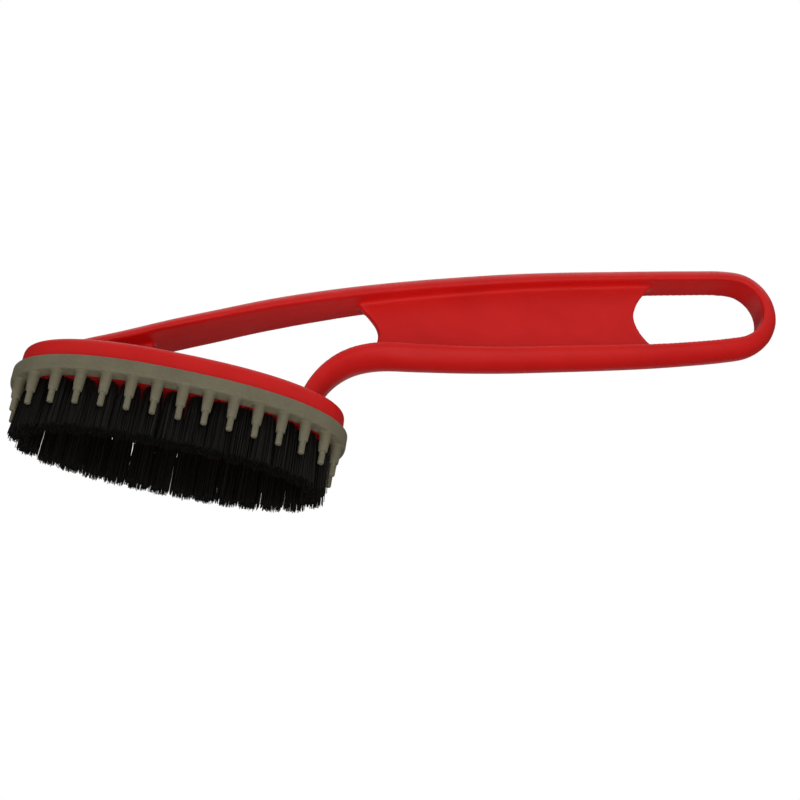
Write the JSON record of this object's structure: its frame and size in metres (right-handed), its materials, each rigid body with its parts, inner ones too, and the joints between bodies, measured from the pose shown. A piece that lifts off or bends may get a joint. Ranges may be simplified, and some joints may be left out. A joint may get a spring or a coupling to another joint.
{
  "type": "hand scrubbing brush",
  "caption": "Hand scrubbing brush: an oval head with a loop of bristle tufts inside a ring of stepped rubber fingers, on a one-piece open-frame handle with a hanging slot.",
  "frame": {"origin": "centre of the oval bristle loop, in the plane of the trimmed bristle tips", "axes": "+X runs along the head towards the free end of the handle, +Z points away from the bristles to the back of the head, Y is across the brush and y = 0 is its plane of symmetry"},
  "size_m": [0.2484, 0.0464, 0.1184],
  "materials": {
    "red_plastic": "moulded polypropylene, satin gloss",
    "red_plate": "moulded polypropylene, satin gloss",
    "grey_rubber": "matte moulded rubber",
    "black_nylon": "bundled nylon filament",
    "anchor_wire": "drawn flat wire"
  },
  "bodies": {
    "root": {"handle_frame": "red_plastic", "bristle_plate": "red_plate", "finger_ring": "grey_rubber", "tuft_anchors": "anchor_wire", "tuft_01": "black_nylon", "tuft_02": "black_nylon", "tuft_03": "black_nylon", "tuft_04": "black_nylon", "tuft_05": "black_nylon", "tuft_06": "black_nylon", "tuft_07": "black_nylon", "tuft_08": "black_nylon", "tuft_09": "black_nylon", "tuft_10": "black_nylon", "tuft_11": "black_nylon", "tuft_12": "black_nylon", "tuft_13": "black_nylon", "tuft_14": "black_nylon", "tuft_15": "black_nylon", "tuft_16": "black_nylon", "tuft_17": "black_nylon", "tuft_18": "black_nylon", "tuft_19": "black_nylon", "tuft_20": "black_nylon", "tuft_21": "black_nylon", "tuft_22": "black_nylon", "tuft_23": "black_nylon", "tuft_24": "black_nylon", "tuft_25": "black_nylon", "tuft_26": "black_nylon", "tuft_27": "black_nylon", "tuft_28": "black_nylon", "tuft_29": "black_nylon"}
  },
  "joints": []
}
